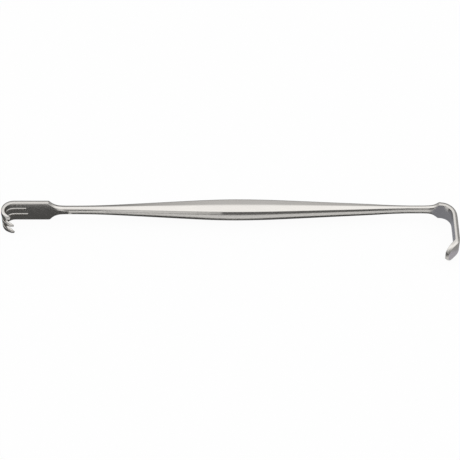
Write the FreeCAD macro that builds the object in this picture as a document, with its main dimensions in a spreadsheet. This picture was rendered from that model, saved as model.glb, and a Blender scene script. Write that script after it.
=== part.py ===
import FreeCAD, Part
import Sketcher
import math
import os

os.makedirs("parts", exist_ok=True)

# A double-ended hand retractor, forged and polished from one bar of stainless steel.
# In the model's own frame X runs along the handle from the rake to the blade, both
# hooks point to -Y and Z runs across the width. The finished solid lies on its side.

SIZES = {
    # The whole instrument, and its handle: a spindle with flat forged faces.
    "overall_length": 160.0,
    "grip_middle": 81.5,
    "grip_half_width": 2.85,
    "grip_corner_width": 2.38,
    "grip_corner_depth": 2.90,
    "grip_crown_width": 0.73,
    "grip_crown_depth": 3.20,
    "grip_edge_radius": 0.35,
    # How far the grip has swelled at a quarter and at three quarters of each taper.
    "rake_swell_low": 0.17,
    "rake_swell_high": 0.81,
    "blade_swell_low": 0.29,
    "blade_swell_high": 0.87,
    # The slim shank that runs into the rake.
    "rake_shank_root": 17.4,
    "rake_shank_neck": 22.0,
    "rake_shank_end": 27.0,
    "rake_shank_half_width": 1.60,
    "rake_shank_corner_width": 1.22,
    "rake_shank_corner_depth": 0.94,
    "rake_shank_crown_width": 0.62,
    "rake_shank_crown_depth": 1.24,
    # The slim shank that runs into the blade, placed from the blade's outer face.
    "blade_shank_root": 7.4,
    "blade_shank_neck": 10.4,
    "blade_shank_end": 17.0,
    "blade_shank_half_width": 1.55,
    "blade_shank_corner_width": 1.34,
    "blade_shank_corner_depth": 0.65,
    "blade_shank_crown_width": 0.73,
    "blade_shank_crown_depth": 0.91,
    # The blade's shank runs a little behind the middle of the grip.
    "blade_shank_lift": 0.22,
    # The root of each shank, sunk in the plate that it carries.
    "root_share": 0.62,
    # The rake, a plate cut into three prongs and bent over.
    "rake_width": 8.35,
    "rake_thickness": 1.65,
    "rake_shoulder": 16.5,
    "rake_web_end": 21.9,
    "rake_web_width": 2.5,
    "hook_outer_radius": 4.2,
    "hook_inner_radius": 2.9,
    "hook_turn": 150.0,
    "upper_tip_length": 1.05,
    "middle_tip_length": 2.2,
    "lower_tip_length": 2.15,
    # The prongs' sides draw in between these two distances from the hook's outer face.
    "prong_taper_start": 1.5,
    "prong_taper_end": 5.2,
    "prong_tip_width": 1.0,
    "prong_tip_pitch": 3.25,
    "slot_width": 1.2,
    "slot_pitch": 2.75,
    "upper_slot_end": 8.55,
    "lower_slot_end": 9.0,
    "rake_edge_radius": 0.35,
    # Each prong is ground off from outside over its last stretch, to a blunt point.
    "prong_point_length": 1.0,
    "prong_point_radius": 1.1,
    # The blade, a short plate bent square, with a lip that leans back to the handle.
    "blade_width": 6.65,
    "blade_thickness": 1.75,
    "blade_shoulder": 6.25,
    "blade_web_end": 11.5,
    "blade_web_width": 2.2,
    "blade_bend_radius": 5.8,
    "blade_turn": 93.0,
    "lip_start": 15.9,
    "lip_bend_radius": 2.2,
    "lip_turn": 38.0,
    "blade_reach": 22.5,
    "lip_end_thickness": 1.0,
    # The width of straight edge that the lip's two round corners leave between them.
    "lip_end_flat": 0.65,
    "blade_edge_radius": 0.45,
    # How far a cutting outline runs past the metal.
    "overrun": 2.0,
}

# A coordinate smaller than this lies on its axis, and an edge this close lies at a place.
ON_AXIS = 1e-9
CLOSE = 0.05
STRAIGHT = 0.999

doc = FreeCAD.newDocument("retractor")
sheet = doc.addObject("Spreadsheet::Sheet", "Sizes")
for row, (alias, value) in enumerate(SIZES.items(), start=1):
    sheet.set(f"A{row}", alias)
    sheet.set(f"B{row}", str(value))
    sheet.setAlias(f"B{row}", alias)
doc.recompute()


def cell(alias):
    """The expression that reads one size from the sheet."""
    return f"Sizes.{alias}"


def number(expression):
    """The present value of an expression on the sheet."""
    return float(sheet.evalExpression(expression.replace("Sizes.", "")))


def half(alias):
    return f"({cell(alias)} / 2)"


def minus(expression):
    return f"(-({expression}))"


def blend(low, high, share):
    """The expression for a value part of the way from one value to another."""
    return f"({low} + ({high} - {low}) * {share})"


def from_blade(alias):
    """A station along the handle, measured back from the blade's outer face."""
    return f"({cell('overall_length')} - {cell(alias)})"


def stepped(point, distance, across, along):
    """The point that lies a distance away, in a direction given by two cosines."""
    x, y = point
    return (f"({x} + {distance} * {across})", f"({y} + {distance} * {along})")


def origin_plane(body, role):
    for feature in body.Origin.OriginFeatures:
        if feature.Role == role:
            return feature
    raise ValueError(f"no origin plane {role}")


def new_sketch(body, name, role, offset=None):
    """An empty sketch on one of the body's own origin planes, or beside it."""
    sketch = body.newObject("Sketcher::SketchObject", name)
    sketch.AttachmentSupport = [(origin_plane(body, role), "")]
    sketch.MapMode = "FlatFace"
    if offset is not None:
        sketch.setExpression(".AttachmentOffset.Base.z", offset)
    return sketch


def pin(sketch, edge, vertex, point):
    """Ties one end of an edge to a place given by two expressions."""
    for kind, axis, expression in (("DistanceX", -2, point[0]), ("DistanceY", -1, point[1])):
        value = number(expression)
        if abs(value) < ON_AXIS:
            sketch.addConstraint(Sketcher.Constraint("PointOnObject", edge, vertex, axis))
            continue
        row = sketch.addConstraint(Sketcher.Constraint(kind, -1, 1, edge, vertex, value))
        sketch.setExpression(f"Constraints[{row}]", expression)


def arc_between(start, end, radius, side):
    """The short arc from start to end, with its centre left (1) or right (-1) of the way."""
    chord = end - start
    rise = math.sqrt(radius ** 2 - chord.Length ** 2 / 4)
    across = FreeCAD.Vector(-chord.y, chord.x, 0).normalize() * side
    centre = (start + end) / 2 + across * rise
    first, last = (start, end) if side > 0 else (end, start)
    first_angle = math.atan2(first.y - centre.y, first.x - centre.x)
    last_angle = math.atan2(last.y - centre.y, last.x - centre.x)
    if last_angle < first_angle:
        last_angle += 2 * math.pi
    circle = Part.Circle(centre, FreeCAD.Vector(0, 0, 1), radius)
    return Part.ArcOfCircle(circle, first_angle, last_angle)


def draw_outline(sketch, steps):
    """A closed outline. A step is a point, and the radius and side of an arc that leaves it."""
    places = [FreeCAD.Vector(number(step[0]), number(step[1]), 0) for step in steps]
    first = sketch.GeometryCount
    ends = []
    for index, (x, y, *arc) in enumerate(steps):
        start = places[index]
        end = places[(index + 1) % len(places)]
        if arc:
            radius, side = arc
            sketch.addGeometry(arc_between(start, end, number(radius), side), False)
            ends.append((1, 2) if side > 0 else (2, 1))
        else:
            sketch.addGeometry(Part.LineSegment(start, end), False)
            ends.append((1, 2))
    for index, (x, y, *arc) in enumerate(steps):
        edge = first + index
        following = (index + 1) % len(steps)
        joint = (edge, ends[index][1], first + following, ends[following][0])
        sketch.addConstraint(Sketcher.Constraint("Coincident", *joint))
        pin(sketch, edge, ends[index][0], (x, y))
        if arc:
            row = sketch.addConstraint(Sketcher.Constraint("Radius", edge, number(arc[0])))
            sketch.setExpression(f"Constraints[{row}]", arc[0])


def pad_across(body, name, sketch, width):
    """Metal to both sides of a profile."""
    pad = body.newObject("PartDesign::Pad", name)
    pad.Profile = sketch
    pad.SideType = "Symmetric"
    pad.setExpression("Length", width)
    return pad


def cut_across(body, name, sketch, length):
    """A cut of a given length, half of it to each side of its sketch."""
    pocket = body.newObject("PartDesign::Pocket", name)
    pocket.Profile = sketch
    pocket.SideType = "Symmetric"
    pocket.setExpression("Length", length)
    return pocket


def cut_shoulders(body, name, corner, neck, width, web, thickness):
    """The hollow curve from the plate's corner in to the shank, cut on both sides."""
    run = f"({neck} - {corner})"
    drop = f"(({width} - {web}) / 2)"
    radius = f"(({run} ^ 2 + {drop} ^ 2) / (2 * {drop}))"
    side = 1 if number(run) > 0 else -1
    past = f"({neck} + {side} * {cell('overrun')})"
    above = f"({width} / 2 + {cell('overrun')})"
    sketch = new_sketch(body, f"{name}Outline", "XZ_Plane")
    draw_outline(sketch, [
        (corner, f"({width} / 2)", radius, side),
        (neck, f"({web} / 2)"),
        (past, f"({web} / 2)"),
        (past, above),
        (corner, above),
    ])
    pocket = cut_across(body, name, sketch, f"({thickness} + {cell('overrun')})")
    return both_sides(body, pocket)


def both_sides(body, feature):
    """The same feature again, mirrored across the width."""
    mirrored = body.newObject("PartDesign::Mirrored", f"{feature.Name}Mirrored")
    mirrored.Originals = [feature]
    mirrored.MirrorPlane = (origin_plane(body, "XY_Plane"), [""])
    body.Tip = mirrored
    return mirrored


def along_y(edge):
    line = edge.Curve
    return line.TypeId == "Part::GeomLine" and abs(line.Direction.y) > STRAIGHT


def along_z(edge):
    line = edge.Curve
    return line.TypeId == "Part::GeomLine" and abs(line.Direction.z) > STRAIGHT


def round_edges(body, name, base, radius, wanted):
    """A fillet on each edge of the base that the test picks."""
    doc.recompute()
    names = [f"Edge{i}" for i, edge in enumerate(base.Shape.Edges, start=1) if wanted(edge)]
    fillet = body.newObject("PartDesign::Fillet", name)
    fillet.Base = (base, names)
    fillet.setExpression("Radius", radius)
    body.Tip = fillet
    return fillet


# The forged section has ten sides: a parting ridge on each flank, a flat crown in front
# and behind, and a corner between. Every place along the handle has the same ten sides.

SECTION_SIZES = ("half_width", "corner_width", "corner_depth", "crown_width", "crown_depth")


def section_of(place):
    return [cell(f"{place}_{part}") for part in SECTION_SIZES]


def swollen(shank, share):
    """The section part of the way from a shank to the middle of the grip."""
    pairs = zip(section_of(shank), section_of("grip"))
    return [blend(low, high, share) for low, high in pairs]


def rooted(shank):
    """The slimmer section with which a shank starts inside its plate."""
    return [f"({part} * {cell('root_share')})" for part in section_of(shank)]


def section_sketch(body, name, station, section, lift):
    """The ten sides at one station, with their middle lifted towards the back."""
    half_width, corner_width, corner_depth, crown_width, crown_depth = section
    quarter = [(corner_depth, corner_width), (crown_depth, crown_width)]
    front = [(minus(depth), width) for depth, width in quarter]
    front += [(depth, minus(width)) for depth, width in reversed(front)]
    back = [(depth, minus(width)) for depth, width in quarter]
    back += [(depth, width) for depth, width in reversed(quarter)]
    ring = [("0", half_width)] + front + [("0", minus(half_width))] + back
    sketch = new_sketch(body, name, "YZ_Plane", station)
    draw_outline(sketch, [(f"({lift} + {depth})", width) for depth, width in ring])
    return sketch


def make_handle():
    """The spindle grip and both shanks, one smooth run through sections."""
    body = doc.addObject("PartDesign::Body", "Handle")
    rake_end = cell("rake_shank_end")
    blade_end = from_blade("blade_shank_end")
    middle = cell("grip_middle")
    lift = cell("blade_shank_lift")
    blade_low = cell("blade_swell_low")
    blade_high = cell("blade_swell_high")
    rake_low = cell("rake_swell_low")
    rake_high = cell("rake_swell_high")
    stations = [
        (from_blade("blade_shank_root"), rooted("blade_shank"), lift),
        (from_blade("blade_shank_neck"), section_of("blade_shank"), lift),
        (blade_end, section_of("blade_shank"), lift),
        (blend(blade_end, middle, "0.25"), swollen("blade_shank", blade_low),
         blend(lift, "0", "0.25")),
        (blend(blade_end, middle, "0.75"), swollen("blade_shank", blade_high),
         blend(lift, "0", "0.75")),
        (middle, section_of("grip"), "0"),
        (blend(rake_end, middle, "0.75"), swollen("rake_shank", rake_high), "0"),
        (blend(rake_end, middle, "0.25"), swollen("rake_shank", rake_low), "0"),
        (rake_end, section_of("rake_shank"), "0"),
        (cell("rake_shank_neck"), section_of("rake_shank"), "0"),
        (cell("rake_shank_root"), rooted("rake_shank"), "0"),
    ]
    sketches = []
    for index, (station, section, lift_here) in enumerate(stations, start=1):
        name = f"HandleSection{index}"
        sketches.append(section_sketch(body, name, station, section, lift_here))
    doc.recompute()
    loft = body.newObject("PartDesign::AdditiveLoft", "HandleLoft")
    loft.Profile = sketches[0]
    loft.Sections = sketches[1:]
    round_edges(body, "HandleEdges", loft, cell("grip_edge_radius"), runs_along_handle)
    return body


def runs_along_handle(edge):
    first = edge.Vertexes[0].Point
    last = edge.Vertexes[-1].Point
    return abs(first.x - last.x) > size_now("overall_length") / 2


def make_rake():
    """A plate bent over and sawn into three prongs, which are ground slim and to length."""
    body = doc.addObject("PartDesign::Body", "Rake")
    top = half("rake_thickness")
    under = minus(top)
    outer = cell("hook_outer_radius")
    inner = cell("hook_inner_radius")
    overrun = cell("overrun")
    turn_across = f"sin({cell('hook_turn')})"
    turn_along = f"(1 - cos({cell('hook_turn')}))"
    ahead = (f"(-cos({cell('hook_turn')}))", minus(turn_across))
    inward = (turn_across, f"(-cos({cell('hook_turn')}))")
    tips = [cell(f"{place}_tip_length") for place in ("upper", "middle", "lower")]
    blank = f"(max({'; '.join(tips)}) + {overrun} / 2)"
    outer_end = (f"({outer} * (1 - {turn_across}))", f"({top} - {outer} * {turn_along})")
    inner_end = (f"({outer} - {inner} * {turn_across})", f"({under} - {inner} * {turn_along})")
    profile = new_sketch(body, "RakeProfile", "XY_Plane")
    draw_outline(profile, [
        (cell("rake_web_end"), top),
        (outer, top, outer, 1),
        outer_end,
        stepped(outer_end, blank, *ahead),
        stepped(inner_end, blank, *ahead),
        (*inner_end, inner, -1),
        (outer, under),
        (cell("rake_web_end"), under),
    ])
    pad_across(body, "RakePlate", profile, cell("rake_width"))
    doc.recompute()

    # Two sawn slots, one ending a little before the other.
    left = minus(overrun)
    above = f"({top} + {overrun})"
    below = f"(-2 * {outer} - 2 * {overrun})"
    for name, end, side in (("Upper", "upper_slot_end", ""), ("Lower", "lower_slot_end", "-")):
        slot = new_sketch(body, f"{name}SlotOutline", "XY_Plane", f"{side}{half('slot_pitch')}")
        draw_outline(slot, [
            (left, above),
            (left, below),
            (cell(end), below),
            (cell(end), above),
        ])
        cut_across(body, f"{name}Slot", slot, cell("slot_width"))

    doc.recompute()
    shoulders = cut_shoulders(body, "RakeShoulders", cell("rake_shoulder"), cell("rake_web_end"),
                              cell("rake_width"), cell("rake_web_width"),
                              cell("rake_thickness"))
    round_edges(body, "RakeEdges", shoulders, cell("rake_edge_radius"), is_rake_rim)

    # The sides of the prongs draw in towards the tips, from where the hook turns back.
    start = cell("prong_taper_start")
    end = cell("prong_taper_end")
    clear = f"({half('rake_width')} + {overrun})"
    slimming = new_sketch(body, "ProngSidesOutline", "XZ_Plane", f"({outer} - {top})")
    draw_outline(slimming, [
        (start, f"(({cell('slot_pitch')} - {cell('slot_width')}) / 2)"),
        (end, f"({cell('prong_tip_width')} / 2)"),
        (end, f"({cell('prong_tip_pitch')} - {cell('prong_tip_width')} / 2)"),
        (start, f"(({cell('slot_pitch')} + {cell('slot_width')}) / 2)"),
    ])
    draw_outline(slimming, [
        (start, half("rake_width")),
        (end, f"({cell('prong_tip_pitch')} + {cell('prong_tip_width')} / 2)"),
        (end, clear),
        (start, clear),
    ])
    sides = body.newObject("PartDesign::Pocket", "ProngSides")
    sides.Profile = slimming
    sides.Type = "ThroughAll"
    sides.Reversed = True
    doc.recompute()
    both_sides(body, sides)

    # Each prong is ground to its own length, and from outside to a blunt point.
    rise = f"(({outer} - {inner}) * {turn_along} - {cell('rake_thickness')})"
    thin = f"(({outer} - {inner}) * {turn_across} ^ 2 - {rise} * cos({cell('hook_turn')}))"
    places = (cell("prong_tip_pitch"), None, minus(cell("prong_tip_pitch")))
    for name, place, tip in zip(("Upper", "Middle", "Lower"), places, tips):
        inside = stepped(stepped(outer_end, tip, *ahead), thin, *inward)
        outside = stepped(outer_end, f"({tip} - {cell('prong_point_length')})", *ahead)
        clear_outside = stepped(outside, minus(overrun), *inward)
        clear_inside = stepped(inside, overrun, *inward)
        trim = new_sketch(body, f"{name}TipOutline", "XY_Plane", place)
        draw_outline(trim, [
            clear_outside,
            (*outside, cell("prong_point_radius"), 1),
            inside,
            clear_inside,
            stepped(clear_inside, f"(2 * {overrun})", *ahead),
            stepped(clear_outside, f"(2 * {overrun})", *ahead),
        ])
        body.Tip = cut_across(body, f"{name}Tip", trim, cell("slot_pitch"))
    return body


def is_rake_rim(edge):
    """The long edges of plate and prongs, but not the web's end or the slots' ends."""
    if edge.CenterOfMass.x > size_now("rake_web_end") - CLOSE:
        return False
    if along_y(edge) or along_z(edge):
        return False
    return edge.Length > size_now("rake_thickness")


def make_blade():
    """A plate bent square, with a lip that leans back to the handle and thins to a round end."""
    body = doc.addObject("PartDesign::Body", "Blade")
    top = half("blade_thickness")
    thickness = cell("blade_thickness")
    web_end = from_blade("blade_web_end")
    bend = cell("blade_bend_radius")
    bend_at = from_blade("blade_bend_radius")
    blade_angle = cell("blade_turn")
    lip_angle = f"({cell('blade_turn')} + {cell('lip_turn')})"
    down_blade = (f"cos({blade_angle})", f"(-sin({blade_angle}))")
    down_lip = (f"cos({lip_angle})", f"(-sin({lip_angle}))")
    inward_blade = (f"(-sin({blade_angle}))", f"(-cos({blade_angle}))")
    inward_lip = (f"(-sin({lip_angle}))", f"(-cos({lip_angle}))")
    lip_outer = f"({cell('lip_bend_radius')} + {thickness})"
    bend_end = (f"({bend_at} + {bend} * sin({blade_angle}))",
                f"({top} - {bend} * (1 - cos({blade_angle})))")
    fall = f"(({cell('lip_start')} + {bend_end[1]}) / sin({blade_angle}))"
    lip_from = stepped(bend_end, fall, *down_blade)
    lip_to = (f"({lip_from[0]} + {lip_outer} * (sin({lip_angle}) - sin({blade_angle})))",
              f"({lip_from[1]} + {lip_outer} * (cos({lip_angle}) - cos({blade_angle})))")
    lip_fall = f"(({cell('blade_reach')} + {lip_to[1]}) / sin({lip_angle}))"
    tip = stepped(lip_to, lip_fall, *down_lip)
    profile = new_sketch(body, "BladeProfile", "XY_Plane")
    draw_outline(profile, [
        (web_end, top),
        (bend_at, top, bend, -1),
        bend_end,
        (*lip_from, lip_outer, -1),
        lip_to,
        tip,
        stepped(tip, cell("lip_end_thickness"), *inward_lip),
        (*stepped(lip_to, thickness, *inward_lip), cell("lip_bend_radius"), 1),
        stepped(lip_from, thickness, *inward_blade),
        (*stepped(bend_end, thickness, *inward_blade), f"({bend} - {thickness})", 1),
        (bend_at, minus(top)),
        (web_end, minus(top)),
    ])
    pad_across(body, "BladePlate", profile, cell("blade_width"))
    doc.recompute()
    shoulders = cut_shoulders(body, "BladeShoulders", from_blade("blade_shoulder"), web_end,
                              cell("blade_width"), cell("blade_web_width"), thickness)
    end_radius = f"(({cell('blade_width')} - {cell('lip_end_flat')}) / 2)"
    rounded = round_edges(body, "LipEnd", shoulders, end_radius, is_lip_corner)
    round_edges(body, "BladeEdges", rounded, cell("blade_edge_radius"), is_blade_rim)
    return body


def is_lip_corner(edge):
    """The two short edges across the thickness at the lip's end."""
    across = edge.Length < size_now("blade_thickness") + CLOSE
    deepest = edge.BoundBox.YMin < -size_now("blade_reach") + CLOSE
    return across and deepest and not along_z(edge)


def is_blade_rim(edge):
    centre = edge.CenterOfMass
    if centre.x < size_now("overall_length") - size_now("blade_web_end") + CLOSE:
        return False
    if along_y(edge):
        return False
    if along_z(edge):
        return edge.Length < size_now("blade_width") - CLOSE
    return edge.Length > size_now("blade_thickness") + CLOSE


def size_now(alias):
    return number(cell(alias))


# One forging: handle, rake and blade are a single piece of metal. It lies on its side,
# with the middle of its outline over the origin.

handle = make_handle()
rake = make_rake()
blade = make_blade()
retractor = doc.addObject("Part::MultiFuse", "Retractor")
retractor.Label = "retractor"
retractor.Shapes = [handle, rake, blade]
retractor.setExpression(".Placement.Base.x", minus(half("overall_length")))
retractor.setExpression(
    ".Placement.Base.y", f"({cell('blade_reach')} - {cell('grip_crown_depth')}) / 2")
retractor.setExpression(".Placement.Base.z", half("rake_width"))
doc.recompute()

for thing in doc.Objects:
    for state in thing.State:
        if state in ("Invalid", "Error"):
            raise RuntimeError(f"{thing.Name} is {state}")

if retractor.Shape.isNull() or not retractor.Shape.isValid():
    raise RuntimeError("the retractor is not a valid solid")
if len(retractor.Shape.Solids) != 1:
    raise RuntimeError("the retractor is not one solid")

retractor.Shape.exportStep(f"parts/{retractor.Label}.step")
box = retractor.Shape.BoundBox
print("box", [round(v, 3) for v in (box.XMin, box.YMin, box.ZMin, box.XMax, box.YMax, box.ZMax)])
print("volume", round(retractor.Shape.Volume, 3))
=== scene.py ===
# A double-ended hand retractor, forged from one bar of stainless steel, ground and satin
# polished. It lies on its side on a white floor, with both hooks towards the camera.
import math

import bmesh
import bpy
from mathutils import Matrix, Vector


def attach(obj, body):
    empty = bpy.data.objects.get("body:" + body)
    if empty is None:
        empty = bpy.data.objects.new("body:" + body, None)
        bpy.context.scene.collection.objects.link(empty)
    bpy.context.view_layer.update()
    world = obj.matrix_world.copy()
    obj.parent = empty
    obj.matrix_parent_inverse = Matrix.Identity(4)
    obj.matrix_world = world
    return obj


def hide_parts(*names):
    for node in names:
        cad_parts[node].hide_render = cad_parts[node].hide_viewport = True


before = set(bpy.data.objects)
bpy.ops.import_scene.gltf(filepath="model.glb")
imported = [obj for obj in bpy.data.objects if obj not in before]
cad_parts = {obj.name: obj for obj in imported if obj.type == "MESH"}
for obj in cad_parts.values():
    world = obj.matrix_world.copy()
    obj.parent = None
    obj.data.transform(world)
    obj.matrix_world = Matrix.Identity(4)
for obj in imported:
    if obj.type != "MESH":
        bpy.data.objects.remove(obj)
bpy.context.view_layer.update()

# Sizes are in millimetres and turns in degrees. Along the handle, sizes count from the rake's
# hook to the blade's outer face, depth counts towards the back and height across the width.
# The skin is 0.02 mm shorter than the solid, so that it stays inside the solid's box. Names in
# STEPS are the places, or the shares of the way, where the skin has a ring.
MM = 0.001
LENGTH = 159.98
SHIFT = Vector((-79.99, 9.648, 4.175))
STRAIGHT = (0.0, 1.0)

# The forged section: a ridge on each flank, a corner, and a flat crown front and back. The
# pairs are a depth and a height.
GRIP = {"ridge": 2.62, "corner": (3.08, 2.22), "crown": (3.20, 0.73)}
RAKE_SHANK = {"ridge": 1.60, "corner": (0.94, 1.22), "crown": (1.24, 0.62)}
BLADE_SHANK = {"ridge": 1.55, "corner": (0.65, 1.34), "crown": (0.91, 0.73)}

# Along the handle: where the shanks end, and how the grip swells out between them. A swell is
# the share reached at a quarter and at three quarters of the way to the grip's middle.
RAKE_SHANK_MIDDLE = 24.5
RAKE_SHANK_END = 27.0
GRIP_MIDDLE = 81.5
BLADE_SHANK_END = LENGTH - 17.0
BLADE_SHANK_MIDDLE = LENGTH - 14.0
BLADE_LIFT = 0.22
RAKE_SWELL = (0.17, 0.81)
BLADE_SWELL = (0.29, 0.87)
SWELL_SLOPE = 1.9
SWELL_RINGS = 10

# The rake: a plate with two slots, bent over into a hook of three prongs.
RAKE_HALF_WIDTH = 4.175
RAKE_HALF_THICK = 0.825
RAKE_PLATE_STEPS = (11.5, 14.5)
RAKE_SHOULDER = 16.5
RAKE_NECK = 22.0
RAKE_WEB_END = 21.9
RAKE_WEB_HALF = 1.25
PRONG_INSIDE = 0.8
PRONG_OUTSIDE = 1.95
UPPER_SLOT_END = 8.55
LOWER_SLOT_END = 9.0
PRONG_STEPS = (0.45, 0.9)
HOOK_OUTER = 4.2
HOOK_INNER = 2.9
HOOK_TURN = 150
HOOK_STEP = 15
HOOK_TURNED_BACK = 90

# The prongs grow slimmer after the hook has turned back. These are the heights of the outer
# prongs' two sides at their tips, and what each side of the middle prong loses.
TAPER_START = 1.5
TAPER_RUN = 3.7
TIP_OUTSIDE = 3.75
TIP_INSIDE = 2.75
MIDDLE_TAPER = 0.275
# Towards a prong's tip: the length left, then the shares of thickness, width and crease.
PRONG_POINT = ((0.95, 1.0, 1.0, 0.6), (0.5, 0.87, 0.97, 0.3), (0.15, 0.62, 0.9, 0.1),
               (-0.05, 0.4, 0.7, 0.0))
SHORTEST_REACH = 0.1

# The blade: a plate bent square, with a lip that leans back to the handle.
BLADE_HALF_WIDTH = 3.325
BLADE_HALF_THICK = 0.875
BLADE_SHOULDER = LENGTH - 6.25
BLADE_NECK = LENGTH - 11.6
BLADE_WEB_END = LENGTH - 11.5
BLADE_FLARE = LENGTH - 8.5
BLADE_WEB_HALF = 1.1
BLADE_BEND = 5.8
BLADE_TURN = 93
BLADE_STEP = 15
BLADE_INNER_SHARES = (0.25, 0.62)
LEG_STEPS = (0.3, 0.65, 0.93)
LIP_START = 15.9
LIP_BEND = 2.2
LIP_TURN = 38
LIP_BEND_STEPS = (0.0, 0.34, 0.67, 1.0)
BLADE_REACH = 22.5
LIP_LEFT_STEPS = (4.4, 3.0, 2.0, 1.3, 0.8, 0.48, 0.29)
LIP_END_HALF_THICK = 0.72
LIP_END_RADIUS = 3.0

# The plates' sides slope a little towards the back, from a line near the middle, and the
# blade's back edge is ground away further down its leg.
PLATE_RIDGE_DEPTH = 0.12
PLATE_BACK_OUT = 0.15
RAKE_BACK_DROP = 0.24
BLADE_BACK_DROP = 0.3
BLADE_LEG_DROP = 1.1
BLADE_LEG_RIDGE_DEPTH = -0.1

# Where a shank flattens into its plate: places along the handle, and how flat it is there. A
# high power blends the shank's width and the hollow shoulder's with a tight, smooth corner.
RAKE_FLATTENING = ((16.9, 0.95), (17.5, 0.88), (18.3, 0.78), (19.3, 0.6), (20.4, 0.38),
                   (21.4, 0.16))
BLADE_FLATTENING = ((149.4, 0.0), (150.4, 0.06), (151.2, 0.2), (151.9, 0.42), (152.6, 0.68),
                    (153.3, 0.9))
BLENDING_POWER = 6
FLAT_RIDGE = 0.8
CROWN_LIMIT = 0.6

# Lines along the metal are numbered round a fourteen-sided ring, which starts above, at the
# ridge, and runs round by the back. A prong has some of them, and so has a slot's end. Each
# prong goes on past the hook by a length of its own.
RING_SIDES = 14
UPPER_PRONG = (0, 1, 2, 12, 13)
MIDDLE_PRONG = (3, 4, 10, 11)
LOWER_PRONG = (5, 6, 7, 8, 9)
UPPER_SLOT = (2, 3, 11, 12)
LOWER_SLOT = (4, 5, 9, 10)
SIDE_LINES = (0, 1, 7, 8)
PRONG_LENGTHS = {UPPER_PRONG: 1.05, MIDDLE_PRONG: 2.2, LOWER_PRONG: 2.15}

# How crisp the subdivision keeps each line. The slots' front edges are left as sawn.
SHARP = 1.0
HANDLE_EDGES = {0: 0.55, 1: 0.55, 3: 0.5, 4: 0.5, 6: 0.55, 7: 0.55, 8: 0.55, 10: 0.3, 11: 0.3,
                13: 0.55}
RAKE_EDGES = {0: 0.45, 1: 0.3, 2: 0.7, 3: 0.7, 4: 0.7, 5: 0.7, 6: 0.3, 7: 0.45, 8: 0.72,
              9: SHARP, 10: SHARP, 11: SHARP, 12: SHARP, 13: 0.72}
BLADE_EDGES = {0: 0.7, 1: 0.3, 6: 0.3, 7: 0.7, 8: 0.55, 13: 0.55}
LIP_END_CREASE = 0.65
SOFT_CORNER = 0.3
SMOOTH_LEVELS = 3

# The polish: fine lines, and broad faint patches, each with its length and its width.
HAIR = (12.0, 0.25)
PATCH = (8.0, 3.0)
HAIR_DEPTH = 0.02

# The share of the white floor that the camera sees as plain white, with no shadow on it.
PAPER_GLOW = 0.95

# The light tent, from the floor behind, over the top, to the floor in front: how far round,
# and how bright. Towards its left and right ends it falls off, and has a faint glow of its own.
TENT_LEVELS = ((0.0, 0.2), (0.08, 0.25), (0.15, 0.68), (0.2, 0.74), (0.27, 1.15), (0.37, 1.45),
               (0.5, 1.3), (0.62, 0.85), (0.75, 0.45), (0.9, 0.2), (1.0, 0.16))
TENT_STRENGTH = 2.0
TENT_END_STRENGTH = 1.3
TENT_END_GLOW = 0.22

# Grey and white sheets lie just above the floor round the instrument, and only the steel mirrors
# them.
# They glow with an even tone of their own, as painted reflections: the dark ones stand in for
# shade, the light ones for lit floor. Each has a name, a tone and an outline seen from above.
PAINTED_REFLECTION_HEIGHT = 0.02
PAINTED_REFLECTIONS = (
    ("front_painted_reflection", "#646464", [(-3, -60), (71.5, -60), (71.5, 1.0), (66, 1.0), (20, 1.3),
                               (-3, 1.3)]),
    ("line_painted_reflection", "#828282", [(-45, 0.0), (-18, -0.4), (-18, 1.6), (-45, 2.6)]),
    ("near_line_painted_reflection", "#727272", [(-18, -0.4), (-3, -0.6), (-3, 1.3), (-18, 1.6)]),
    ("under_painted_reflection", "#4c4c4c", [(-56, 4.7), (-40, 4.6), (-20, 4.4), (20, 4.6), (71.5, 5.9),
                               (71.5, 16), (-56, 16)]),
    ("bright_painted_reflection", "#f2f2f2", [(-56, 2.8), (-20, 1.5), (20, 1.5), (66, 1.2), (71.5, 1.2),
                                (71.5, 5.8), (20, 4.5), (-20, 4.3), (-40, 4.5), (-56, 4.6)]),
    ("rake_painted_reflection", "#5a5a5a", [(-120, 0.6), (-57, 0.6), (-57, 24), (-120, 24)]),
    ("flare_painted_reflection", "#90929a", [(71.5, -2), (74, -9), (78, -9), (78, 10.1), (71.5, 9.3)]),
    ("lip_painted_reflection", "#bcbac3", [(78, -16), (82, -16), (82, -5), (78, -5)]),
    ("wedge_painted_reflection", "#4a4a4c", [(71.5, 9.3), (78, 10.1), (78, 16), (71.5, 16)]),
    ("back_painted_reflection", "#a4a4a4", [(-120, 24), (-57, 24), (-57, 16), (82, 16), (82, -30), (160, -30),
                              (160, 400), (-120, 400)]),
)
FLOOR_REACH = 2000

# The photograph's view. The target is then moved up a little in the picture.
CAMERA_ELEVATION = 48
CAMERA_DISTANCE = 650
PICTURE_PIXELS = 460
PIXELS_PER_MM = 2.8624
SENSOR_WIDTH = 36
NEAREST_SEEN = 10
CAMERA_TARGET = Vector((0.29, 0.0, 4.175))
CAMERA_RISE = 0.09


def mix(low, high, share):
    return low + (high - low) * share


def mix_pair(low, high, share):
    return tuple(mix(a, b, share) for a, b in zip(low, high))


def mixed_section(low, high, share):
    """The section part of the way from one section to another."""
    return {
        "ridge": mix(low["ridge"], high["ridge"], share),
        "corner": mix_pair(low["corner"], high["corner"], share),
        "crown": mix_pair(low["crown"], high["crown"], share),
    }


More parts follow.
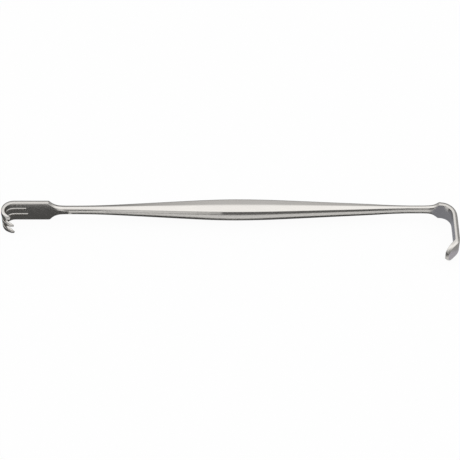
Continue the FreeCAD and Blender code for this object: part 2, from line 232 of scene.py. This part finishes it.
def ring_of(section):
    """The fourteen depths and heights of a section, from the upper ridge round by the back."""
    corner = section["corner"]
    crown = section["crown"]
    inset = section.get("inset", mix_pair(corner, crown, 0.5))
    out = section.get("back_out", 0.0)
    ridge_depth = section.get("ridge_depth", 0.0)
    quarter = [corner, inset, crown]
    behind = [(corner[0] + out, corner[1] - section.get("back_drop", 0.0))]
    behind += [(depth + out, height) for depth, height in (inset, crown)]
    back = [(ridge_depth, section["ridge"])] + behind
    back += [(depth, -height) for depth, height in reversed(behind)]
    front = [(ridge_depth, -section["ridge"])]
    front += [(-depth, -height) for depth, height in quarter]
    front += [(-depth, height) for depth, height in reversed(quarter)]
    return back + front


def rake_plate(upright=1.0):
    """The rake's section. Its back stands out a little, less and less round the hook."""
    return {
        "ridge": RAKE_HALF_WIDTH,
        "ridge_depth": PLATE_RIDGE_DEPTH,
        "back_drop": RAKE_BACK_DROP,
        "back_out": PLATE_BACK_OUT * max(upright, 0.0),
        "corner": (RAKE_HALF_THICK, RAKE_HALF_WIDTH),
        "inset": (RAKE_HALF_THICK, PRONG_OUTSIDE),
        "crown": (RAKE_HALF_THICK, PRONG_INSIDE),
    }


def blade_plate(half_width=BLADE_HALF_WIDTH, half_thick=BLADE_HALF_THICK, upright=1.0):
    """The blade's section. Its back edge is ground away more where the blade has turned down."""
    upright = max(upright, 0.0)
    inside, outside = BLADE_INNER_SHARES
    return {
        "ridge": half_width,
        "ridge_depth": mix(BLADE_LEG_RIDGE_DEPTH, PLATE_RIDGE_DEPTH, upright),
        "back_drop": mix(BLADE_LEG_DROP, BLADE_BACK_DROP, upright) * half_thick / BLADE_HALF_THICK,
        "back_out": PLATE_BACK_OUT * upright,
        "corner": (half_thick, half_width),
        "inset": (half_thick, half_width * outside),
        "crown": (half_thick, half_width * inside),
    }


def lip_plate(half_width, half_thick, share):
    """The lip's section. Its back edge grows crisp again over the lip's bend."""
    return blade_plate(half_width, half_thick, share) | {"back_out": 0.0}


def shank_to_plate(shank, plate, half_width, share):
    """The section where a shank flattens into its plate, at a given half width."""
    corner_depth = mix(shank["corner"][0], plate["corner"][0], share)
    corner_height = half_width * mix(shank["corner"][1] / shank["ridge"], 1.0, share)
    crown_depth = mix(shank["crown"][0], plate["crown"][0], share)
    crown_height = mix(shank["crown"][1], plate["crown"][1], share)
    return {
        "ridge": half_width,
        "ridge_depth": plate["ridge_depth"] * share,
        "back_drop": plate["back_drop"] * share,
        "back_out": plate["back_out"] * share,
        "corner": (corner_depth, corner_height),
        "crown": (crown_depth, min(crown_height, corner_height * CROWN_LIMIT)),
    }


def hollow(x, neck, web, corner, half_width):
    """The half width on the hollow curve that runs from the shank out to a plate's corner."""
    run = corner - neck
    drop = half_width - web
    radius = (run ** 2 + drop ** 2) / (2 * drop)
    return web + radius - math.sqrt(radius ** 2 - (x - neck) ** 2)


def flattening(steps, shank, plate, neck, web, corner, lift):
    """The stations where a shank spreads along a hollow curve and flattens into its plate."""
    stations = []
    for x, share in steps:
        ridge = shank["ridge"] * mix(1.0, FLAT_RIDGE, share)
        spread = hollow(x, neck, web, corner, plate["ridge"])
        half_width = (spread ** BLENDING_POWER + ridge ** BLENDING_POWER) ** (1 / BLENDING_POWER)
        section = shank_to_plate(shank, plate, half_width, share)
        stations.append((x, mix(lift, 0.0, share), section))
    return stations


def swell(share, low, high):
    """How far the grip has swelled, drawn through its values at a quarter and three quarters."""
    slope = (high - low) * SWELL_SLOPE
    knots = [(0.0, 0.0, 0.0), (0.25, low, slope), (0.75, high, slope), (1.0, 1.0, 0.0)]
    for (x0, y0, slope0), (x1, y1, slope1) in zip(knots, knots[1:]):
        if share <= x1:
            run = x1 - x0
            t = (share - x0) / run
            rise = t * t * (3 - 2 * t)
            lean_out = t * (1 - t) ** 2 * slope0 * run
            lean_in = t * t * (t - 1) * slope1 * run
            return mix(y0, y1, rise) + lean_out + lean_in
    return 1.0


def handle_stations():
    """Stations and sections from the rake's plate, along the handle, to the blade's plate."""
    plate = rake_plate()
    stations = [(x, 0.0, plate) for x in (*RAKE_PLATE_STEPS, RAKE_SHOULDER)]
    stations += flattening(RAKE_FLATTENING, RAKE_SHANK, plate, RAKE_WEB_END, RAKE_WEB_HALF,
                           RAKE_SHOULDER, 0.0)
    stations += [(x, 0.0, RAKE_SHANK) for x in (RAKE_NECK, RAKE_SHANK_MIDDLE)]
    for step in range(SWELL_RINGS + 1):
        share = step / SWELL_RINGS
        section = mixed_section(RAKE_SHANK, GRIP, swell(share, *RAKE_SWELL))
        stations.append((mix(RAKE_SHANK_END, GRIP_MIDDLE, share), 0.0, section))
    for step in range(SWELL_RINGS - 1, -1, -1):
        share = step / SWELL_RINGS
        section = mixed_section(BLADE_SHANK, GRIP, swell(share, *BLADE_SWELL))
        x = mix(BLADE_SHANK_END, GRIP_MIDDLE, share)
        stations.append((x, mix(BLADE_LIFT, 0.0, share), section))
    stations += [(x, BLADE_LIFT, BLADE_SHANK) for x in (BLADE_SHANK_MIDDLE, BLADE_NECK)]
    plate = blade_plate()
    stations += flattening(BLADE_FLATTENING, BLADE_SHANK, plate, BLADE_WEB_END, BLADE_WEB_HALF,
                           BLADE_SHOULDER, BLADE_LIFT)
    stations.append((BLADE_SHOULDER, 0.0, plate))
    return stations


def outward_at(angle):
    """The way out from the middle line, where the blade has turned by an angle in degrees."""
    return Vector((math.sin(math.radians(angle)), math.cos(math.radians(angle))))


def run_down_to(middle, outward, depth):
    """The way ahead, and how far it is until the outer face is a given depth below the handle."""
    ahead = Vector((outward.y, -outward.x))
    outer_y = middle.y + outward.y * BLADE_HALF_THICK
    return ahead, (depth + outer_y) / -ahead.y


def blade_stations():
    """Stations round the blade's bend, down to the lip and round its own bend, to its end."""
    bend_middle = BLADE_BEND - BLADE_HALF_THICK
    centre = Vector((LENGTH - BLADE_BEND, BLADE_HALF_THICK - BLADE_BEND))
    run = LENGTH - BLADE_BEND
    stations = []
    for angle in range(0, BLADE_TURN + 1, BLADE_STEP):
        outward = outward_at(angle)
        turned = math.radians(angle) * bend_middle
        plate = blade_plate(upright=outward.y)
        stations.append((centre + outward * bend_middle, outward, run + turned, plate))

    middle, outward, run, plate = stations[-1]
    ahead, leg = run_down_to(middle, outward, LIP_START)
    for share in LEG_STEPS:
        stations.append((middle + ahead * leg * share, outward, run + leg * share, plate))

    lip_middle = LIP_BEND + BLADE_HALF_THICK
    centre = middle + ahead * leg - outward * lip_middle
    run += leg
    for share in LIP_BEND_STEPS:
        outward = outward_at(BLADE_TURN + LIP_TURN * share)
        turned = math.radians(LIP_TURN) * share * lip_middle
        section = lip_plate(BLADE_HALF_WIDTH, BLADE_HALF_THICK, share)
        stations.append((centre + outward * lip_middle, outward, run + turned, section))

    middle, outward, run, _ = stations[-1]
    ahead, lip = run_down_to(middle, outward, BLADE_REACH)
    for left in LIP_LEFT_STEPS:
        across = max(LIP_END_RADIUS - left, 0.0)
        straight = BLADE_HALF_WIDTH - LIP_END_RADIUS
        half_width = straight + math.sqrt(LIP_END_RADIUS ** 2 - across ** 2)
        reach = lip - left
        half_thick = mix(BLADE_HALF_THICK, LIP_END_HALF_THICK, reach / lip)
        place = middle + ahead * reach + outward * (BLADE_HALF_THICK - half_thick)
        stations.append((place, outward, run + reach, lip_plate(half_width, half_thick, 1.0)))
    return stations


def hook_station(angle):
    """The station at an angle round the rake's hook, where the prongs grow thinner."""
    sine = math.sin(math.radians(angle))
    cosine = math.cos(math.radians(angle))
    outer = Vector((HOOK_OUTER * (1 - sine), RAKE_HALF_THICK - HOOK_OUTER * (1 - cosine)))
    inner = Vector((HOOK_OUTER - HOOK_INNER * sine, -RAKE_HALF_THICK - HOOK_INNER * (1 - cosine)))
    return (outer + inner) / 2, (outer - inner) / (2 * RAKE_HALF_THICK)


def drawn_in(x):
    """How far a prong's sides have drawn in, from where the hook turns back to the tip."""
    return min(max((x - TAPER_START) / TAPER_RUN, 0.0), 1.0)


def prong_ring(lines, share=0.0, upright=0.0):
    """The corners of one prong, with its sides drawn in by a share."""
    ring = ring_of(rake_plate(upright))
    corners = [ring[line] for line in lines]
    if lines == MIDDLE_PRONG:
        narrowed = 1 - share * MIDDLE_TAPER / PRONG_INSIDE
        return [(depth, height * narrowed) for depth, height in corners]
    side = 1 if corners[0][1] > 0 else -1
    drawn = []
    for depth, height in corners:
        if abs(height) > PRONG_OUTSIDE:
            height -= side * share * (RAKE_HALF_WIDTH - TIP_OUTSIDE)
        else:
            height += side * share * (TIP_INSIDE - PRONG_OUTSIDE)
        drawn.append((depth, height))
    return drawn


def creases_of(edges, lines=range(RING_SIDES), share=1.0):
    """The crease of each line of a ring, or of part of one."""
    return [edges.get(line, 0.0) * share for line in lines]


def placed(middle, outward, ring):
    """The corners of a ring, set out at a station."""
    middle = Vector((*middle, 0.0))
    outward = Vector((*outward, 0.0))
    return [middle + outward * depth + Vector((0.0, 0.0, height)) for depth, height in ring]


class Skin:
    """One closed skin, drawn out ring by ring, that remembers how far along each ring lies."""

    def __init__(self):
        self.mesh = bmesh.new()
        self.crease = self.mesh.edges.layers.float.new("crease_edge")
        self.flat = self.mesh.verts.layers.float_vector.new("drawn_out")

    def first_ring(self, places, run, ring):
        """The ring from which everything else is drawn out."""
        corners = bmesh.ops.create_circle(self.mesh, segments=RING_SIDES, radius=1.0)["verts"]
        self.settle(corners, places, run, ring)
        return corners

    def settle(self, corners, places, run, ring):
        """Sets corners in place, and notes where they would lie on metal drawn out straight."""
        for corner, place, (depth, height) in zip(corners, places, ring):
            corner.co = place
            corner[self.flat] = Vector((run, depth, height)) * MM

    def crisp(self, edge, crease):
        """Creases an edge. Only a fully sharp one also breaks the shading."""
        edge[self.crease] = crease
        edge.smooth = crease < SHARP

    def draw_out(self, corners, station, run, ring, creases):
        """Carries a ring on to its next station, with a band of faces between."""
        around = [self.mesh.edges.get((corners[i - 1], corners[i])) for i in range(len(corners))]
        made = bmesh.ops.extrude_edge_only(self.mesh, edges=around)["geom"]
        following = {}
        for vert in made:
            if isinstance(vert, bmesh.types.BMVert):
                for edge in vert.link_edges:
                    other = edge.other_vert(vert)
                    if other in corners:
                        following[other] = (vert, edge)
        for corner, crease in zip(corners, creases):
            self.crisp(following[corner][1], crease)
        fresh = [following[corner][0] for corner in corners]
        self.settle(fresh, placed(*station, ring), run, ring)
        return fresh

    def close(self, corners, crease):
        """Closes an open end with one face."""
        for edge in self.mesh.faces.new(corners).edges:
            self.crisp(edge, crease)


def draw_prong(skin, start, lines, length):
    """One prong: out of the plate, round the hook and on to its own blunt tip."""
    corners = [start[line] for line in lines]
    creases = creases_of(RAKE_EDGES, lines)
    ring = prong_ring(lines, upright=1.0)
    first_x = corners[0].co.x
    for share in PRONG_STEPS:
        x = mix(first_x, HOOK_OUTER, share)
        corners = skin.draw_out(corners, ((x, 0.0), STRAIGHT), x, ring, creases)

    for angle in range(0, HOOK_TURN + 1, HOOK_STEP):
        middle, outward = hook_station(angle)
        share = drawn_in(middle.x) if angle > HOOK_TURNED_BACK else 0.0
        ring = prong_ring(lines, share, math.cos(math.radians(angle)))
        run = HOOK_OUTER - math.radians(angle) * HOOK_OUTER
        corners = skin.draw_out(corners, (middle, outward), run, ring, creases)

    ahead = Vector((-math.cos(math.radians(HOOK_TURN)), -math.sin(math.radians(HOOK_TURN))))
    for left, thick, wide, crispness in PRONG_POINT:
        forward = max(length - left, SHORTEST_REACH)
        tip = middle + ahead * forward
        ring = prong_ring(lines, drawn_in(tip.x))
        centre = sum(height for depth, height in ring) / len(ring)
        ring = [(mix(-RAKE_HALF_THICK, depth, thick), mix(centre, height, wide))
                for depth, height in ring]
        creases = creases_of(RAKE_EDGES, lines, crispness)
        corners = skin.draw_out(corners, (tip, outward), run - forward, ring, creases)
    skin.close(corners, 0.0)


def draw_handle_and_blade(skin, corners):
    """From the slots' ends, along the handle and round the blade, to the end of its lip."""
    for x, lift, section in handle_stations():
        if x <= RAKE_SHOULDER:
            creases = creases_of(RAKE_EDGES)
        elif x <= BLADE_FLARE:
            creases = creases_of(HANDLE_EDGES)
        else:
            creases = creases_of(BLADE_EDGES)
        corners = skin.draw_out(corners, ((x, lift), STRAIGHT), x, ring_of(section), creases)
        if x == RAKE_SHOULDER:
            for line in SIDE_LINES:
                shoulder = skin.mesh.edges.get((corners[line - 1], corners[line]))
                skin.crisp(shoulder, SOFT_CORNER)

    creases = creases_of(BLADE_EDGES)
    for middle, outward, run, section in blade_stations():
        corners = skin.draw_out(corners, (middle, outward), run, ring_of(section), creases)
    skin.close(corners, LIP_END_CREASE)


def make_retractor():
    """The whole instrument as one closed, subdivided skin."""
    skin = Skin()
    ring = ring_of(rake_plate())
    places = placed((LOWER_SLOT_END, 0.0), STRAIGHT, ring)
    for line in UPPER_PRONG + UPPER_SLOT:
        places[line].x = UPPER_SLOT_END
    start = skin.first_ring(places, LOWER_SLOT_END, ring)
    draw_handle_and_blade(skin, start)
    for slot in (UPPER_SLOT, LOWER_SLOT):
        skin.close([start[line] for line in slot], SHARP)
    for lines, length in PRONG_LENGTHS.items():
        draw_prong(skin, start, lines, length)

    mesh = skin.mesh
    bmesh.ops.translate(mesh, verts=mesh.verts, vec=SHIFT)
    bmesh.ops.scale(mesh, verts=mesh.verts, vec=Vector((MM, MM, MM)))
    bmesh.ops.recalc_face_normals(mesh, faces=mesh.faces)
    for face in mesh.faces:
        face.smooth = True
    piece = new_object("polished_retractor", mesh)
    smoothing = piece.modifiers.new("smoothing", "SUBSURF")
    smoothing.levels = SMOOTH_LEVELS
    smoothing.render_levels = SMOOTH_LEVELS
    return piece


def new_object(name, mesh):
    """An object in the scene that holds a finished bmesh."""
    data = bpy.data.meshes.new(name)
    mesh.to_mesh(data)
    mesh.free()
    thing = bpy.data.objects.new(name, data)
    bpy.context.scene.collection.objects.link(thing)
    return thing


def linear(colour):
    """The linear values of an sRGB hex colour."""
    values = []
    for start in (1, 3, 5):
        value = int(colour[start:start + 2], 16) / 255
        values.append(value / 12.92 if value <= 0.04045 else ((value + 0.055) / 1.055) ** 2.4)
    return (*values, 1.0)


def add(tree, kind, settings=None, links=None):
    """Adds a node, sets its properties and its sockets by name or number, and links its inputs."""
    node = tree.nodes.new(kind)
    for name, value in (settings or {}).items():
        if isinstance(name, int) or name in node.inputs:
            node.inputs[name].default_value = value
        else:
            setattr(node, name, value)
    for name, source in (links or {}).items():
        tree.links.new(source, node.inputs[name])
    return node


def new_material(name):
    """An empty material, with its node tree."""
    material = bpy.data.materials.new(name)
    material.use_nodes = True
    material.node_tree.nodes.clear()
    return material, material.node_tree


def per_size(length, width):
    """The pattern scale that gives marks of a length and width in millimetres."""
    return 1 / (length * MM), 1 / (width * MM), 1 / (width * MM)


def satin_polished_stainless_steel():
    """Stainless steel, belt ground and satin polished along its length.

    The polish leaves hair-fine lines that follow the metal round its bends, a soft mirror
    between them, and a slightly warm grey.
    """
    material, tree = new_material("satin_polished_stainless_steel")
    drawn_out = add(tree, "ShaderNodeAttribute", {"attribute_name": "drawn_out"}).outputs["Vector"]
    # Polishing lines are about 0.05 mm wide. They are drawn 0.25 mm wide, to show at all.
    hairs_at = add(tree, "ShaderNodeMapping", {"Scale": per_size(*HAIR)}, {"Vector": drawn_out})
    hairs = add(tree, "ShaderNodeTexNoise", {"Scale": 1.0, "Detail": 2.0},
                {"Vector": hairs_at.outputs["Vector"]}).outputs["Fac"]
    # Broad, faint patches, some 8 mm long, where the polish bit a little deeper.
    patches_at = add(tree, "ShaderNodeMapping", {"Scale": per_size(*PATCH)}, {"Vector": drawn_out})
    patches = add(tree, "ShaderNodeTexNoise", {"Scale": 1.0, "Detail": 3.0},
                  {"Vector": patches_at.outputs["Vector"]}).outputs["Fac"]
    tone = add(tree, "ShaderNodeMix",
               {"data_type": "RGBA", 6: linear("#cbc8c4"), 7: linear("#d3d0cb")},
               {"Factor": patches})
    sheen = add(tree, "ShaderNodeMapRange", {"To Min": 0.16, "To Max": 0.27}, {"Value": hairs})
    relief = add(tree, "ShaderNodeBump", {"Strength": 0.12, "Distance": HAIR_DEPTH * MM},
                 {"Height": hairs})
    metal = add(tree, "ShaderNodeBsdfPrincipled", {"Metallic": 1.0},
                {"Base Color": tone.outputs[2], "Roughness": sheen.outputs["Result"],
                 "Normal": relief.outputs["Normal"]})
    add(tree, "ShaderNodeOutputMaterial", links={"Surface": metal.outputs["BSDF"]})
    return material


def white_paper():
    """The floor: matt white paper. Seen directly it is nearly white, and keeps the shadow."""
    material, tree = new_material("white_paper")
    path = add(tree, "ShaderNodeLightPath")
    paper = add(tree, "ShaderNodeBsdfDiffuse", {"Color": linear("#f4f4f4")})
    glow = add(tree, "ShaderNodeEmission", {"Color": linear("#ffffff"), "Strength": 1.0})
    share = add(tree, "ShaderNodeMath", {"operation": "MULTIPLY", 1: PAPER_GLOW},
                {0: path.outputs["Is Camera Ray"]})
    mixed = add(tree, "ShaderNodeMixShader",
                links={"Fac": share.outputs[0], 1: paper.outputs[0], 2: glow.outputs[0]})
    add(tree, "ShaderNodeOutputMaterial", links={"Surface": mixed.outputs[0]})
    return material


def painted_reflection_glow(name, colour):
    """A painted reflection beside the object: a sheet that glows with an even tone of its own, with
    no texture.
    """
    material, tree = new_material(name)
    glow = add(tree, "ShaderNodeEmission", {"Color": linear(colour), "Strength": 1.0})
    add(tree, "ShaderNodeOutputMaterial", links={"Surface": glow.outputs[0]})
    return material


def sheet(name, outline, height, material):
    """A flat level sheet on the stage, with an outline in millimetres."""
    mesh = bmesh.new()
    mesh.faces.new([mesh.verts.new((x * MM, y * MM, height * MM)) for x, y in outline])
    thing = new_object(name, mesh)
    thing.data.materials.append(material)
    return thing


def painted_reflection_sheet(name, colour, outline):
    """A sheet that only the polished steel mirrors: a painted reflection that glows with the tone
    given, dark ones for shade, light ones for lit floor.
    """
    thing = sheet(name, outline, PAINTED_REFLECTION_HEIGHT, painted_reflection_glow(name, colour))
    thing.visible_camera = False
    thing.visible_diffuse = False
    thing.visible_shadow = False
    thing.visible_transmission = False


def light_tent():
    """The world: a long soft light above and behind, a grey back and a dark camera side."""
    world = bpy.data.worlds.new("light_tent")
    bpy.context.scene.world = world
    world.use_nodes = True
    tree = world.node_tree
    tree.nodes.clear()
    where = add(tree, "ShaderNodeTexCoord")
    parts = add(tree, "ShaderNodeSeparateXYZ", links={"Vector": where.outputs["Generated"]}).outputs
    angle = add(tree, "ShaderNodeMath", {"operation": "ARCTAN2"}, {0: parts["Z"], 1: parts["Y"]})
    share = add(tree, "ShaderNodeMapRange", {"From Min": 0.0, "From Max": math.pi},
                {"Value": angle.outputs[0]})
    ramp = add(tree, "ShaderNodeValToRGB", links={"Fac": share.outputs["Result"]})
    elements = ramp.color_ramp.elements
    while len(elements) < len(TENT_LEVELS):
        elements.new(0.5)
    for element, (at, level) in zip(elements, TENT_LEVELS):
        element.position = at
        element.color = (*[level / TENT_STRENGTH] * 3, 1.0)
    sideways = add(tree, "ShaderNodeMath", {"operation": "ABSOLUTE"}, {0: parts["X"]}).outputs[0]
    ends = add(tree, "ShaderNodeMapRange",
               {"interpolation_type": "SMOOTHSTEP", "From Min": 0.45, "From Max": 0.72,
                "To Min": 0.0, "To Max": TENT_END_GLOW}, {"Value": sideways})
    bright = add(tree, "ShaderNodeVectorMath", {"operation": "ADD"},
                 {0: ramp.outputs["Color"], 1: ends.outputs["Result"]})
    strength = add(tree, "ShaderNodeMapRange",
                   {"interpolation_type": "SMOOTHSTEP", "From Min": 0.3, "From Max": 0.95,
                    "To Min": TENT_STRENGTH, "To Max": TENT_END_STRENGTH}, {"Value": sideways})
    back = add(tree, "ShaderNodeBackground",
               links={"Color": bright.outputs["Vector"], "Strength": strength.outputs["Result"]})
    add(tree, "ShaderNodeOutputWorld", links={"Surface": back.outputs["Background"]})


def aim_camera():
    """The photograph's view: from in front, 48 degrees above the floor, with a long lens."""
    elevation = math.radians(CAMERA_ELEVATION)
    towards = Vector((0, -math.cos(elevation), math.sin(elevation)))
    up = Vector((0, math.sin(elevation), math.cos(elevation)))
    target = (CAMERA_TARGET + up * CAMERA_RISE) * MM
    data = bpy.data.cameras.new("camera")
    data.sensor_width = SENSOR_WIDTH
    data.lens = SENSOR_WIDTH * CAMERA_DISTANCE * PIXELS_PER_MM / PICTURE_PIXELS
    data.clip_start = NEAREST_SEEN * MM
    camera = bpy.data.objects.new("camera", data)
    camera.rotation_euler = (math.radians(90) - elevation, 0, 0)
    camera.location = target + towards * CAMERA_DISTANCE * MM
    bpy.context.scene.collection.objects.link(camera)
    bpy.context.scene.camera = camera


piece = make_retractor()
piece.data.materials.append(satin_polished_stainless_steel())
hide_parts("retractor")
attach(piece, "root")

square = ((-1, -1), (1, -1), (1, 1), (-1, 1))
sheet("floor", [(x * FLOOR_REACH, y * FLOOR_REACH) for x, y in square], 0.0, white_paper())
# Painted reflections: glowing sheets, seen only in the steel, for shade and lit floor round the
# instrument.
for name, colour, outline in PAINTED_REFLECTIONS:
    painted_reflection_sheet(name, colour, outline)
light_tent()
aim_camera()
bpy.context.scene.view_settings.view_transform = "Standard"
